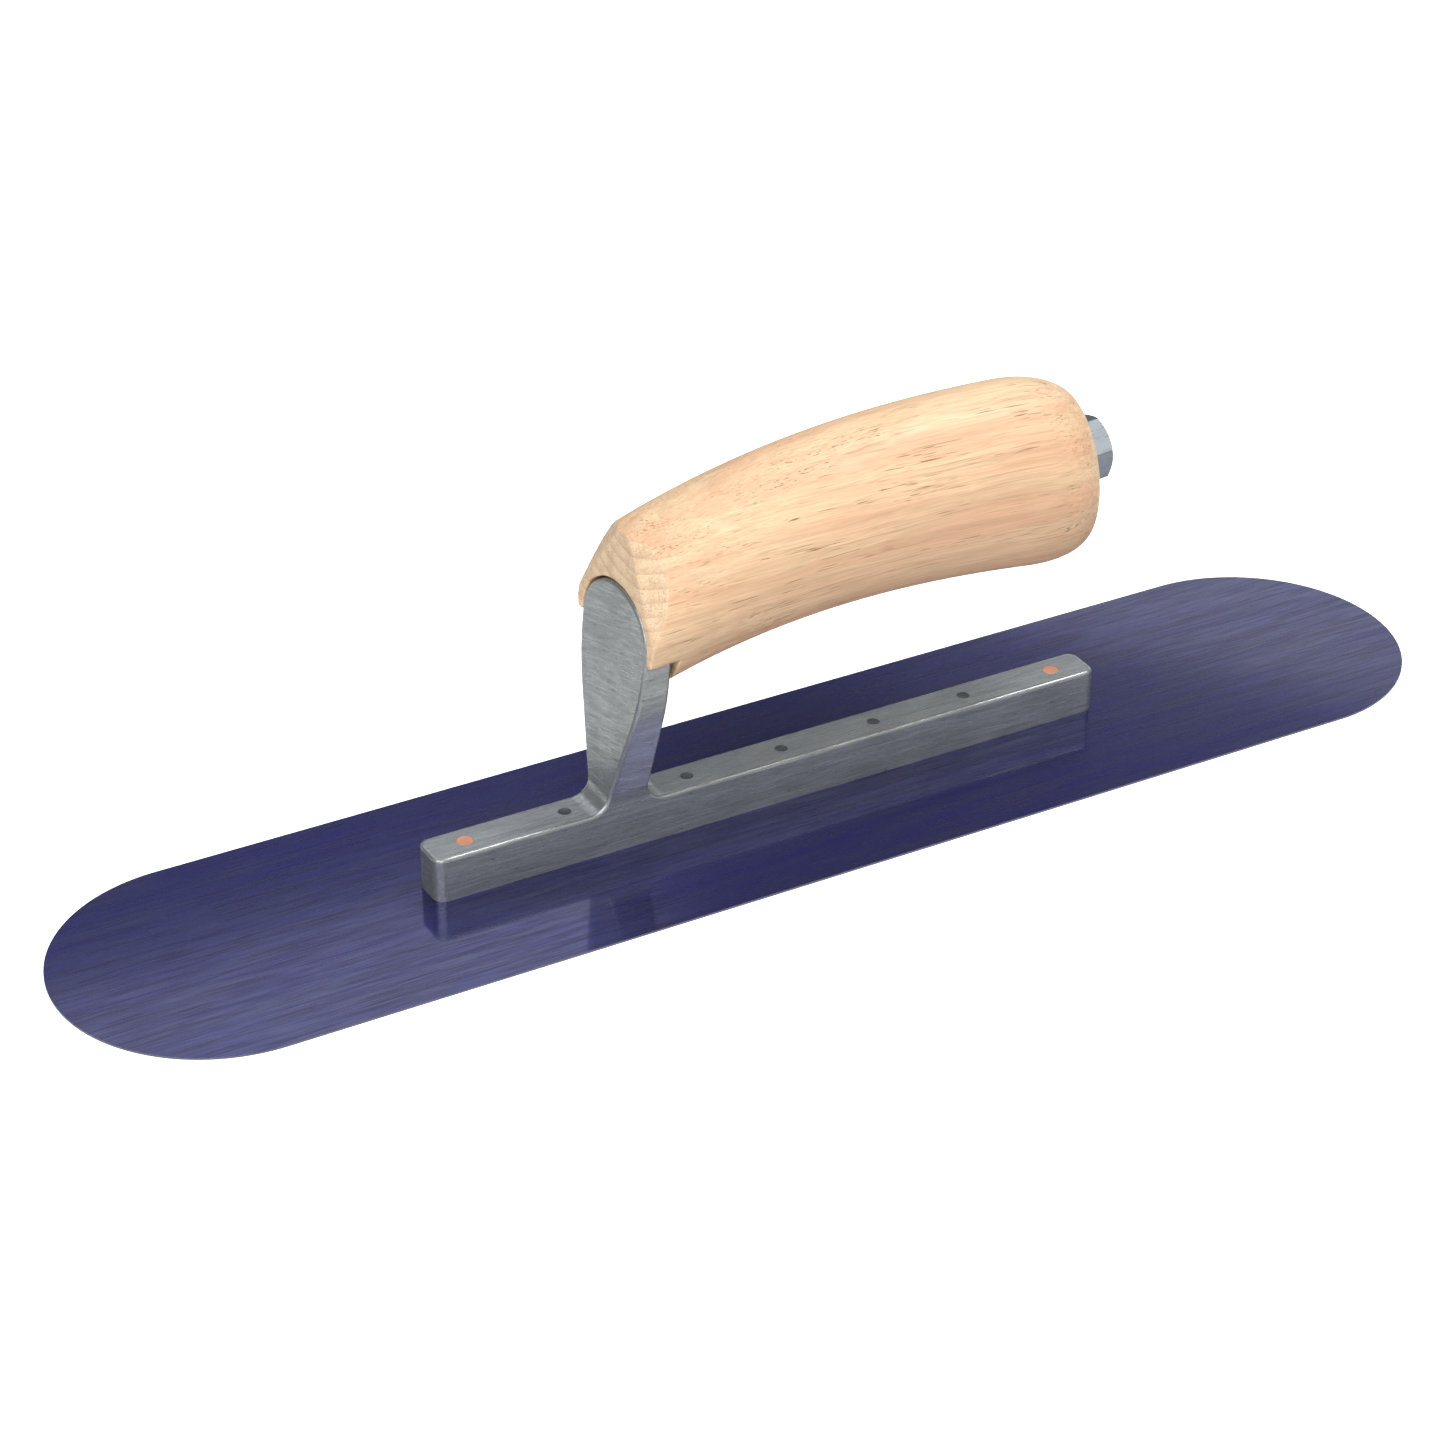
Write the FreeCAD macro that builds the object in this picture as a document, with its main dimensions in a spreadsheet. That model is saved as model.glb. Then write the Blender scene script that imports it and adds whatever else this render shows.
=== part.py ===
"""Round-ended steel finishing trowel, modelled as a parametric document in millimetres.

The origin is at the centre of the blade's underside. X runs along the blade towards the butt of
the handle, Y runs across it and Z points up.
"""
import FreeCAD, Part
import math
import os

import Sketcher
from FreeCAD import Placement, Rotation, Vector

# Driving dimensions: lengths in mm, angles in degrees.
DIMENSIONS = {
    # Blade: a thin plate with two fully round ends.
    "blade_length": 355.0,
    "blade_width": 76.5,
    "blade_thickness": 0.5,
    # Mounting: a bar on the blade and a post that leans back under the handle's nose.
    "bar_length": 177.4,
    "bar_width": 10.6,
    "bar_height": 11.1,
    "bar_corner": 2.8,
    "bar_edge": 0.9,
    "post_blank_top": 66.6,
    "post_front_foot": 45.6,
    "post_lean": 6.8,
    "post_rear_foot": 34.9,
    "post_rear_head": 33.4,
    "post_toe": 4.5,
    "post_heel": 5.0,
    "post_half_width": 15.2,
    "post_widest": 52.8,
    "post_flank": 55.0,
    "post_flank_angle": 18.5,
    "post_foot": 1.2,
    "post_waist": 12.0,
    "post_shoulder": 10.5,
    "post_shoulder_lift": 1.0,
    "post_arch": 18.6,
    "boss_diameter": 16.0,
    "boss_length": 12.0,
    # Rivets, in one row along the bar.
    "rivet_pitch": 25.25,
    "end_rivet_place": 79.0,
    "end_rivet_diameter": 4.0,
    "blade_rivet_diameter": 3.1,
    # Handle: oval sections square to the bolt, on a crowned centre line.
    "grip_axis_height": 64.0,
    "grip_tilt": 4.2,
    "grip_front": -52.0,
    "grip_butt": 81.7,
    "grip_middle": 15.3,
    "grip_half_width": 17.5,
    "grip_flare": 0.00016,
    "grip_half_height": 21.4,
    "grip_taper": 0.0465,
    "grip_crown": 4.9,
    "grip_crown_place": 13.6,
    "grip_crown_radius": 233.0,
    "grip_crown_easing": 0.0000062,
    "butt_round_length": 17.6,
    "butt_round_depth": 7.0,
    "nose_shoulder_turn": 30.3,
    "nose_shoulder_lift": 25.5,
    "nose_shoulder_reach": 64.37,
    "cheek_bottom": 53.5,
    "notch_back": 32.3,
    "notch_gap": 0.3,
    "notch_lift": 0.7,
    "boss_clearance": 0.3,
    # Handle bolt: a 3/8 inch hex bolt on a lock washer and a plain washer, let into the butt.
    "bolt_diameter": 9.5,
    "bolt_length": 114.3,
    "bolt_hole": 10.3,
    "tapped_end": 36.0,
    "hex_seat": 83.0,
    "hex_flats": 14.29,
    "hex_height": 5.9,
    "hex_turn": 44.6,
    "hex_chamfer_in": 1.3,
    "hex_chamfer_down": 0.8,
    "washer_outside": 20.6,
    "washer_thickness": 1.6,
    "lock_outside": 17.0,
    "lock_thickness": 2.4,
    "lock_gap": 1.4,
    "washer_recess": 21.4,
}

LEFT, RIGHT = 1, -1

# Where the plain washer sits, counted along the bolt's axis.
WASHER_SEAT = "(Dims.hex_seat - Dims.lock_thickness - Dims.washer_thickness)"


def make_sheet(doc):
    """Write the driving dimensions to a spreadsheet, one alias each."""
    sheet = doc.addObject("Spreadsheet::Sheet", "Dims")
    for row, (alias, value) in enumerate(DIMENSIONS.items(), start=1):
        sheet.set(f"A{row}", alias)
        sheet.set(f"B{row}", f"{value:.9g}")
        sheet.setAlias(f"B{row}", alias)
    doc.recompute()
    return sheet


def new_body(doc, label):
    body = doc.addObject("PartDesign::Body", label)
    body.Label = label
    return body


def origin_plane(body, role):
    return next(item for item in body.Origin.OriginFeatures if item.Role == role)


def attach(feature, body, role, **offsets):
    """Lay a feature on an origin plane of its body.

    Offsets are expressions: x, y and z in the plane's own frame, and tilt, a turn that lifts the
    plane's normal towards its second axis.
    """
    feature.AttachmentSupport = (origin_plane(body, role), "")
    feature.MapMode = "FlatFace"
    feature.AttachmentOffset = Placement(Vector(), Rotation(Vector(-1, 0, 0), 1.0))
    for axis in "xyz":
        feature.setExpression(f"AttachmentOffset.Base.{axis}", offsets.get(axis, "0"))
    feature.setExpression("AttachmentOffset.Rotation.Angle", offsets.get("tilt", "0"))


def new_sketch(body, name, role, **offsets):
    sketch = body.newObject("Sketcher::SketchObject", name)
    attach(sketch, body, role, **offsets)
    return sketch


def constrain(sketch, kind, *where, size=None):
    """Add a constraint, and bind its value to an expression when it has one."""
    if size is None:
        sketch.addConstraint(Sketcher.Constraint(kind, *where))
        return
    index = sketch.addConstraint(Sketcher.Constraint(kind, *where, sketch.evalExpression(size)))
    sketch.setExpression(f"Constraints[{index}]", size)


def arc_between(start, end, radius):
    """A minor arc; a positive radius turns left on the way from start to end."""
    chord = end - start
    left = Vector(-chord.y, chord.x, 0).normalize()
    rise = math.sqrt(max(radius * radius - chord.Length ** 2 / 4, 0))
    centre = (start + end) / 2 + left * math.copysign(rise, radius)
    first, last = (start, end) if radius > 0 else (end, start)
    angles = [math.atan2(point.y - centre.y, point.x - centre.x) for point in (first, last)]
    if angles[1] < angles[0]:
        angles[1] += 2 * math.pi
    return Part.ArcOfCircle(Part.Circle(centre, Vector(0, 0, 1), abs(radius)), *angles)


def draw_outline(sketch, corners):
    """Draw a closed outline whose corners and arcs are bound to the sheet.

    A corner is a pair of expressions. A third one makes the edge that leaves it an arc of that
    radius, which turns right when the expression starts with a minus sign.
    """
    points = [Vector(*(sketch.evalExpression(value) for value in corner[:2])) for corner in corners]
    ends = []
    for index, corner in enumerate(corners):
        start, end = points[index], points[(index + 1) % len(points)]
        if len(corner) == 2:
            edge = sketch.addGeometry(Part.LineSegment(start, end))
            ends.append((edge, 1, 2))
            continue
        turns_right = corner[2].startswith("-")
        radius = sketch.evalExpression(corner[2].lstrip("-"))
        edge = sketch.addGeometry(arc_between(start, end, -radius if turns_right else radius))
        ends.append((edge, 2, 1) if turns_right else (edge, 1, 2))
    for index, corner in enumerate(corners):
        edge, first, last = ends[index]
        following, following_first, _ = ends[(index + 1) % len(corners)]
        constrain(sketch, "Coincident", edge, last, following, following_first)
        constrain(sketch, "DistanceX", -1, 1, edge, first, size=corner[0])
        constrain(sketch, "DistanceY", -1, 1, edge, first, size=corner[1])
        if len(corner) == 3:
            constrain(sketch, "Radius", edge, size=corner[2].lstrip("-"))


def draw_circle(sketch, radius, across="0", up="0"):
    middle = Vector(sketch.evalExpression(across), sketch.evalExpression(up))
    circle = Part.Circle(middle, Vector(0, 0, 1), sketch.evalExpression(radius))
    edge = sketch.addGeometry(circle)
    constrain(sketch, "DistanceX", -1, 1, edge, 3, size=across)
    constrain(sketch, "DistanceY", -1, 1, edge, 3, size=up)
    constrain(sketch, "Radius", edge, size=radius)


def draw_upright_ellipse(sketch, half_width, half_height):
    """Draw an ellipse about the sketch's origin with its long axis upright."""
    tall, wide = sketch.evalExpression(half_height), sketch.evalExpression(half_width)
    edge = sketch.addGeometry(Part.Ellipse(Vector(0, tall, 0), Vector(-wide, 0, 0), Vector()))
    sketch.exposeInternalGeometry(edge)
    constrain(sketch, "Coincident", edge, 3, -1, 1)
    constrain(sketch, "Vertical", edge + 1)
    constrain(sketch, "Distance", edge + 1, size=f"2 * ({half_height})")
    constrain(sketch, "Distance", edge + 2, size=f"2 * ({half_width})")


def pad(body, sketch, length, symmetric=False):
    feature = body.newObject("PartDesign::Pad", "Pad")
    feature.Profile = sketch
    feature.SideType = "Symmetric" if symmetric else "One side"
    feature.setExpression("Length", length)
    return feature


def cut_through(body, sketch, name="Pocket"):
    """Cut a sketch right through its body, both ways from its plane."""
    feature = body.newObject("PartDesign::Pocket", name)
    feature.Profile = sketch
    feature.SideType = "Symmetric"
    feature.Type = "ThroughAll"
    return feature


def mirror_across(body, feature, role):
    """Repeat a feature on the other side of an origin plane."""
    mirrored = body.newObject("PartDesign::Mirrored", "Mirrored")
    mirrored.Originals = [feature]
    mirrored.MirrorPlane = (origin_plane(body, role), [""])
    body.Tip = mirrored
    return mirrored


def place_on_grip_axis(body, station):
    """Stand a body's frame on the bolt's axis, its X along the axis towards the butt."""
    body.Placement = Placement(Vector(), Rotation(Vector(0, -1, 0), 1.0))
    body.setExpression("Placement.Rotation.Angle", "Dims.grip_tilt")
    body.setExpression("Placement.Base.x", f"({station}) * cos(Dims.grip_tilt)")
    body.setExpression("Placement.Base.z", f"Dims.grip_axis_height + ({station}) * sin(Dims.grip_tilt)")


def rivets():
    """Name, place along the bar and diameter of every rivet, as expressions."""
    end, pitch = "Dims.end_rivet_place", "Dims.rivet_pitch"
    places = [f"{pitch} - {end}"] + [f"{end} - {step} * {pitch}" for step in (4, 3, 2, 1)]
    yield "end_rivet_front", f"-{end}", "Dims.end_rivet_diameter"
    for number, place in enumerate(places, start=1):
        yield f"blade_rivet_{number}", place, "Dims.blade_rivet_diameter"
    yield "end_rivet_rear", end, "Dims.end_rivet_diameter"


def draw_rivet_row(sketch):
    for _, place, diameter in rivets():
        draw_circle(sketch, f"{diameter} / 2", across=place)


def make_blade(doc):
    """The plate, with a hole for every rivet."""
    body = new_body(doc, "blade")
    sketch = new_sketch(body, "BladeOutline", "XY_Plane")
    straight = "(Dims.blade_length - Dims.blade_width) / 2"
    tip, half = "Dims.blade_length / 2", "Dims.blade_width / 2"
    draw_outline(sketch, [
        (f"-{straight}", f"-{half}"),
        (straight, f"-{half}", half),
        (tip, "0", half),
        (straight, half),
        (f"-{straight}", half, half),
        (f"-{tip}", "0", half),
    ])
    draw_rivet_row(sketch)
    pad(body, sketch, "Dims.blade_thickness")
    return body


def add_bar(body):
    """The bar, with rounded upright corners."""
    sketch = new_sketch(body, "BarOutline", "XY_Plane")
    end, side, corner = "Dims.bar_length / 2", "Dims.bar_width / 2", "Dims.bar_corner"
    draw_outline(sketch, [
        (f"{corner} - {end}", f"-{side}"),
        (f"{end} - {corner}", f"-{side}", corner),
        (end, f"{corner} - {side}"),
        (end, f"{side} - {corner}", corner),
        (f"{end} - {corner}", side),
        (f"{corner} - {end}", side, corner),
        (f"-{end}", f"{side} - {corner}"),
        (f"-{end}", f"{corner} - {side}", corner),
    ])
    pad(body, sketch, "Dims.bar_height")


def add_post(body):
    """The post's side view, with its toe and heel swept into the bar, as wide as its widest part."""
    toe = "Dims.post_toe * tan(45 - Dims.post_lean / 2)"
    front_head = "(Dims.post_blank_top - Dims.bar_height) * tan(Dims.post_lean) - Dims.post_front_foot"
    sketch = new_sketch(body, "PostSideView", "XZ_Plane")
    draw_outline(sketch, [
        (f"-Dims.post_front_foot - {toe}", "Dims.bar_height / 2"),
        ("Dims.post_heel - Dims.post_rear_foot", "Dims.bar_height / 2"),
        ("Dims.post_heel - Dims.post_rear_foot", "Dims.bar_height", "-Dims.post_heel"),
        ("-Dims.post_rear_foot", "Dims.bar_height + Dims.post_heel"),
        ("-Dims.post_rear_head", "Dims.post_blank_top"),
        (front_head, "Dims.post_blank_top"),
        (f"{toe} * sin(Dims.post_lean) - Dims.post_front_foot",
         f"Dims.bar_height + {toe} * cos(Dims.post_lean)", "-Dims.post_toe"),
        (f"-Dims.post_front_foot - {toe}", "Dims.bar_height"),
    ])
    pad(body, sketch, "2 * Dims.post_half_width", symmetric=True)


def post_arch(gap="0", lift="0"):
    """The right half of the post's arched head, as corners from its side to the crown's arc.

    A gap grows the head all round, and a lift raises it.
    """
    shoulder = f"(Dims.post_shoulder + {gap})"
    inward = "(Dims.post_half_width - Dims.post_shoulder)"
    level = f"(Dims.post_widest + Dims.post_shoulder_lift + {lift})"
    meeting = f"acos({inward} / (Dims.post_arch - Dims.post_shoulder))"
    return [
        (f"Dims.post_half_width + {gap}", level, shoulder),
        (f"{inward} + {shoulder} * cos({meeting})", f"{level} + {shoulder} * sin({meeting})",
         f"(Dims.post_arch + {gap})"),
    ]


def shape_post(body):
    """Cut the post's sides to the front view: a waist, long flanks and an arched head."""
    waist_in = "Dims.post_waist * (1 - cos(Dims.post_flank_angle))"
    waist_up = "Dims.post_waist * sin(Dims.post_flank_angle)"
    flank_in = "Dims.post_flank * (1 - cos(Dims.post_flank_angle))"
    flank_up = "Dims.post_flank * sin(Dims.post_flank_angle)"
    inward = "(Dims.post_half_width - Dims.post_shoulder)"
    drop = f"sqrt((Dims.post_arch - Dims.post_shoulder)^2 - {inward}^2)"
    crown = f"Dims.post_widest + Dims.post_shoulder_lift + Dims.post_arch - {drop}"
    outside, above = "(Dims.post_half_width + 5)", "(Dims.post_blank_top + 5)"
    sketch = new_sketch(body, "PostFrontView", "YZ_Plane")
    draw_outline(sketch, [
        ("Dims.bar_width / 2", "0"),
        ("Dims.bar_width / 2", "Dims.bar_height + Dims.post_foot", "-Dims.post_waist"),
        (f"Dims.bar_width / 2 + {waist_in}", f"Dims.bar_height + Dims.post_foot + {waist_up}"),
        (f"Dims.post_half_width - {flank_in}", f"Dims.post_widest - {flank_up}", "Dims.post_flank"),
        ("Dims.post_half_width", "Dims.post_widest"),
        *post_arch(),
        ("0", crown),
        ("0", above),
        (outside, above),
        (outside, "0"),
    ])
    side_cut = cut_through(body, sketch, "PostSides")
    return mirror_across(body, side_cut, "XZ_Plane")


def sharp_edges(shape, lowest):
    """Names of the edges above a height where two faces meet at an angle."""
    names = []
    for number, edge in enumerate(shape.Edges, start=1):
        middle = edge.valueAt((edge.FirstParameter + edge.LastParameter) / 2)
        faces = shape.ancestorsOfType(edge, Part.Face)
        normals = [face.normalAt(*face.Surface.parameter(middle)) for face in faces]
        if middle.z > lowest and len(normals) == 2 and normals[0].dot(normals[1]) < 0.95:
            names.append(f"Edge{number}")
    return names


def round_edges(body, base, names, radius):
    feature = body.newObject("PartDesign::Fillet", "Fillet")
    feature.Base = (base, names)
    feature.setExpression("Radius", radius)
    return feature


def cylinder_on_grip_axis(body, kind, station, radius, length, axis_height="Dims.grip_axis_height"):
    """A cylinder on the bolt's axis, from a station along it towards the butt."""
    feature = body.newObject(f"PartDesign::{kind}Cylinder", "AxisCylinder")
    attach(feature, body, "YZ_Plane", tilt="Dims.grip_tilt",
           y=f"{axis_height} + ({station}) * sin(Dims.grip_tilt)", z=f"({station}) * cos(Dims.grip_tilt)")
    feature.setExpression("Radius", radius)
    feature.setExpression("Height", length)
    return feature


def add_boss(body):
    """A round boss behind the post, threaded for the handle bolt, and the bolt's hole in it."""
    height = "Dims.grip_axis_height - Dims.blade_thickness"
    inside = "(Dims.post_rear_head + 1)"
    cylinder_on_grip_axis(body, "Additive", f"-{inside}", "Dims.boss_diameter / 2",
                          "Dims.boss_length + 1", height)
    cylinder_on_grip_axis(body, "Subtractive", "-Dims.tapped_end", "Dims.bolt_diameter / 2",
                          "Dims.tapped_end", height)


def make_mounting(doc):
    """Bar, post and threaded boss, cast in one piece."""
    body = new_body(doc, "mounting")
    body.setExpression("Placement.Base.z", "Dims.blade_thickness")
    add_bar(body)
    add_post(body)
    shaped = shape_post(body)
    doc.recompute()
    bar_height = DIMENSIONS["bar_height"]
    names = sharp_edges(shaped.Shape, bar_height - 0.01)
    round_edges(body, shaped, names, "Dims.bar_edge")
    add_boss(body)
    sketch = new_sketch(body, "RivetRow", "XY_Plane")
    draw_rivet_row(sketch)
    cut_through(body, sketch, "RivetHoles")
    return body


def grip_section(body, station, inset="0"):
    """An oval across the grip, square to the bolt at a station along its axis."""
    past_crown = f"({station} - Dims.grip_crown_place)"
    past_middle = f"({station} - Dims.grip_middle)"
    rise = (f"(Dims.grip_crown - {past_crown}^2 / (2 * Dims.grip_crown_radius)"
            f" + Dims.grip_crown_easing * {past_crown}^3)")
    sketch = new_sketch(
        body, "GripSection", "YZ_Plane", tilt="Dims.grip_tilt",
        z=f"({station}) * cos(Dims.grip_tilt) - {rise} * sin(Dims.grip_tilt)",
        y=f"Dims.grip_axis_height + ({station}) * sin(Dims.grip_tilt) + {rise} * cos(Dims.grip_tilt)")
    draw_upright_ellipse(
        sketch, f"Dims.grip_half_width + Dims.grip_flare * {past_middle}^2 - {inset}",
        f"Dims.grip_half_height + Dims.grip_taper * {past_middle} - {inset}")
    return sketch


def loft_through(body, sections, name):
    loft = body.newObject("PartDesign::AdditiveLoft", name)
    loft.Profile = sections[0]
    loft.Sections = sections[1:]


def shape_grip(body):
    """The grip's blank: a crowned oval from in front of the nose, then its well-rounded butt."""
    round_start = "(Dims.grip_butt - Dims.butt_round_length)"
    spans = 4
    length = f"({round_start} - Dims.grip_front)"
    sections = [grip_section(body, f"(Dims.grip_front + {step} / {spans} * {length})")
                for step in range(spans + 1)]
    loft_through(body, sections, "GripBlank")
    butt = [grip_section(body, f"({round_start} + Dims.butt_round_length * sin({angle}))",
                         f"Dims.butt_round_depth * (1 - cos({angle}))")
            for angle in (0, 22.5, 45, 67.5, 90)]
    loft_through(body, butt, "ButtRound")


def trim_nose(body):
    """Cut the nose flush with the post's front face and cut the cheeks off below."""
    lean = "tan(Dims.post_lean)"
    foot_height = "(Dims.bar_height + Dims.blade_thickness)"
    ahead, above, below = "Dims.grip_front * 1.4", "Dims.grip_axis_height * 1.6", "Dims.bar_height"
    sketch = new_sketch(body, "NoseTrim", "XZ_Plane")
    draw_outline(sketch, [
        (ahead, below),
        ("-Dims.notch_back", below),
        ("-Dims.notch_back", "Dims.cheek_bottom"),
        (f"(Dims.cheek_bottom - {foot_height}) * {lean} - Dims.post_front_foot", "Dims.cheek_bottom"),
        (f"({above} - {foot_height}) * {lean} - Dims.post_front_foot", above),
        (ahead, above),
    ])
    cut_through(body, sketch, "NoseTrim")


def slope_shoulder(body, side):
    """Slope one shoulder of the nose with a flat cut, made by a box far larger than the nose."""
    size = 150.0
    turn = math.radians(DIMENSIONS["nose_shoulder_turn"])
    lift = math.radians(DIMENSIONS["nose_shoulder_lift"])
    normal = Vector(-math.cos(turn), side * math.sin(turn), math.tan(lift)).normalize()
    feature = body.newObject("PartDesign::SubtractiveBox", "Shoulder")
    feature.Length = feature.Width = feature.Height = size
    rotation = Rotation(Vector(0, 0, 1), normal)
    corner = normal * DIMENSIONS["nose_shoulder_reach"] - rotation.multVec(Vector(size, size, 0)) / 2
    feature.AttachmentSupport = (origin_plane(body, "XY_Plane"), "")
    feature.MapMode = "FlatFace"
    feature.AttachmentOffset = Placement(corner, rotation)


def cut_notch(body):
    """Cut the arched notch that takes the post's head, as far back as just behind the post."""
    sketch = new_sketch(body, "NotchFrontView", "YZ_Plane", z="-Dims.notch_back",
                        y="Dims.blade_thickness")
    side, crown = post_arch("Dims.notch_gap", "Dims.notch_lift")
    draw_outline(sketch, [
        (side[0], "Dims.bar_height"),
        side,
        crown,
        (f"-({crown[0]})", crown[1], side[2]),
        (f"-({side[0]})", side[1]),
        (f"-({side[0]})", "Dims.bar_height"),
    ])
    feature = body.newObject("PartDesign::Pocket", "Notch")
    feature.Profile = sketch
    feature.Type = "ThroughAll"


def bore_handle(body):
    """Bore the handle for the bolt, the post's boss and, at the butt, the washers."""
    radius = "Dims.boss_diameter / 2 + Dims.boss_clearance"
    reach = "Dims.boss_length - Dims.post_rear_head + Dims.boss_clearance"
    cylinder_on_grip_axis(body, "Subtractive", "Dims.grip_front", "Dims.bolt_hole / 2",
                          "Dims.grip_butt - Dims.grip_front")
    cylinder_on_grip_axis(body, "Subtractive", "Dims.grip_front", radius, f"{reach} - Dims.grip_front")
    cylinder_on_grip_axis(body, "Subtractive", WASHER_SEAT, "Dims.washer_recess / 2",
                          "Dims.washer_recess")


def make_handle(doc):
    """The wooden grip, notched for the post, bored for the bolt and recessed for its washers."""
    body = new_body(doc, "handle")
    shape_grip(body)
    trim_nose(body)
    for side in (LEFT, RIGHT):
        slope_shoulder(body, side)
    cut_notch(body)
    bore_handle(body)
    return body


def make_bolt(doc):
    """A hex-head bolt; its frame is on the head's underside, X pointing out of the head."""
    body = new_body(doc, "handle_bolt")
    corner = "Dims.hex_flats / 2 / cos(30)"
    head = new_sketch(body, "Hexagon", "YZ_Plane")
    turns = [f"Dims.hex_turn + {60 * number}" for number in range(6)]
    draw_outline(head, [(f"{corner} * cos({turn})", f"{corner} * sin({turn})") for turn in turns])
    pad(body, head, "Dims.hex_height")
    chamfer = new_sketch(body, "HeadChamfer", "XZ_Plane")
    outside = f"({corner} + 1)"
    slope = "(Dims.hex_chamfer_down / Dims.hex_chamfer_in)"
    draw_outline(chamfer, [
        ("Dims.hex_height", f"{corner} - Dims.hex_chamfer_in"),
        ("Dims.hex_height + 1", f"{corner} - Dims.hex_chamfer_in"),
        ("Dims.hex_height + 1", outside),
        (f"Dims.hex_height - {slope} * (Dims.hex_chamfer_in + 1)", outside),
    ])
    groove = body.newObject("PartDesign::Groove", "HeadChamfer")
    groove.Profile = chamfer
    groove.ReferenceAxis = (chamfer, ["H_Axis"])
    groove.Angle = 360
    shank = new_sketch(body, "ShankCircle", "YZ_Plane")
    draw_circle(shank, "Dims.bolt_diameter / 2")
    pad(body, shank, "Dims.bolt_length").Reversed = True
    place_on_grip_axis(body, "Dims.hex_seat")
    return body


def make_ring(doc, label, outside, thickness, station):
    """A flat ring about the bolt, its frame on the face towards the post."""
    body = new_body(doc, label)
    sketch = new_sketch(body, "Ring", "YZ_Plane")
    draw_circle(sketch, f"{outside} / 2")
    draw_circle(sketch, "Dims.bolt_hole / 2")
    pad(body, sketch, thickness)
    place_on_grip_axis(body, station)
    return body


def make_flat_washer(doc):
    return make_ring(doc, "flat_washer", "Dims.washer_outside", "Dims.washer_thickness", WASHER_SEAT)


def make_lock_washer(doc):
    """A split spring washer, pressed flat: a ring with a slanted slit on top."""
    station = "(Dims.hex_seat - Dims.lock_thickness)"
    body = make_ring(doc, "lock_washer", "Dims.lock_outside", "Dims.lock_thickness", station)
    slit = new_sketch(body, "Slit", "XY_Plane")
    slant = "Dims.lock_thickness"
    draw_outline(slit, [
        (f"-{slant} / 2", f"-{slant} - Dims.lock_gap / 2"),
        (f"-{slant} / 2", f"Dims.lock_gap / 2 - {slant}"),
        (f"1.5 * {slant}", f"{slant} + Dims.lock_gap / 2"),
        (f"1.5 * {slant}", f"{slant} - Dims.lock_gap / 2"),
    ])
    cut = body.newObject("PartDesign::Pocket", "Slit")
    cut.Profile = slit
    cut.Type = "ThroughAll"
    cut.Reversed = True
    return body


def make_rivet(doc, label, place, diameter):
    """A rivet flush with the blade's underside and the bar's top."""
    body = new_body(doc, label)
    sketch = new_sketch(body, "ShankCircle", "XY_Plane")
    draw_circle(sketch, f"{diameter} / 2")
    pad(body, sketch, "Dims.blade_thickness + Dims.bar_height")
    body.setExpression("Placement.Base.x", place)
    return body


def check_document(doc, bodies):
    """Stop if any feature failed or any sub-part isn't a sound solid."""
    for item in doc.Objects:
        if "Invalid" in item.State or "Error" in item.State:
            raise RuntimeError(f"{item.Name} failed: {item.State}")
    for body in bodies:
        if body.Shape.isNull() or not body.Shape.isValid() or len(body.Shape.Solids) != 1:
            raise RuntimeError(f"{body.Label} isn't one valid solid")
        print(f"{body.Label}: {body.Shape.Volume:.1f} mm3")


def write_steps(bodies):
    os.makedirs("parts", exist_ok=True)
    for body in bodies:
        body.Shape.exportStep(f"parts/{body.Label}.step")


def main():
    doc = FreeCAD.newDocument("finishing_trowel")
    make_sheet(doc)
    makers = (make_blade, make_mounting, make_handle, make_bolt, make_flat_washer, make_lock_washer)
    bodies = [make(doc) for make in makers]
    bodies += [make_rivet(doc, *rivet) for rivet in rivets()]
    doc.recompute()
    check_document(doc, bodies)
    write_steps(bodies)


main()
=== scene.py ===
"""Looks of a wood-handled finishing trowel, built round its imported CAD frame.

Lengths are in metres, in the frame's own axes: X runs along the blade towards the handle's butt,
Y across it, Z up, and the origin is at the centre of the blade's underside.
"""

import math

import bmesh
import bpy
from bpy.props import FloatProperty, FloatVectorProperty, IntProperty, PointerProperty
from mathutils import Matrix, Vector


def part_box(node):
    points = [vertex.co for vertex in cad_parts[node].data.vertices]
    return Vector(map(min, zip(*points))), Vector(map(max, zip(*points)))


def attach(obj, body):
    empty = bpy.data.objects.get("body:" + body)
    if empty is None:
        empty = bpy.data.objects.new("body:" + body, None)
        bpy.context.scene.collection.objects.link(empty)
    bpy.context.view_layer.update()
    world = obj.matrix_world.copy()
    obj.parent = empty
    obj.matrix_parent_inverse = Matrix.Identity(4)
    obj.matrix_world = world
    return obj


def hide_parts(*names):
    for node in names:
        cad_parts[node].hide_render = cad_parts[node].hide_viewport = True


bl_info = {
    "name": "Finishing Trowel",
    "version": (1, 0, 0),
    "blender": (4, 5, 0),
    "location": "View3D > Sidebar > Trowel",
    "description": "Builds the pieces, finishes and stage of a wood-handled finishing trowel",
    "category": "Add Mesh",
}

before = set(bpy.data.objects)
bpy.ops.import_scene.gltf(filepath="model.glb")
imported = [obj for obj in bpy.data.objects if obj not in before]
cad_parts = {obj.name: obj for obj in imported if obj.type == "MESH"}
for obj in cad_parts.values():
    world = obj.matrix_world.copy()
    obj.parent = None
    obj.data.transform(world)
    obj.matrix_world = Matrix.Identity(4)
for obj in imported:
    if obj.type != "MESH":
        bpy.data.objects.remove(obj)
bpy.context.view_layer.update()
MM = 0.001
BODY = "root"

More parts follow.
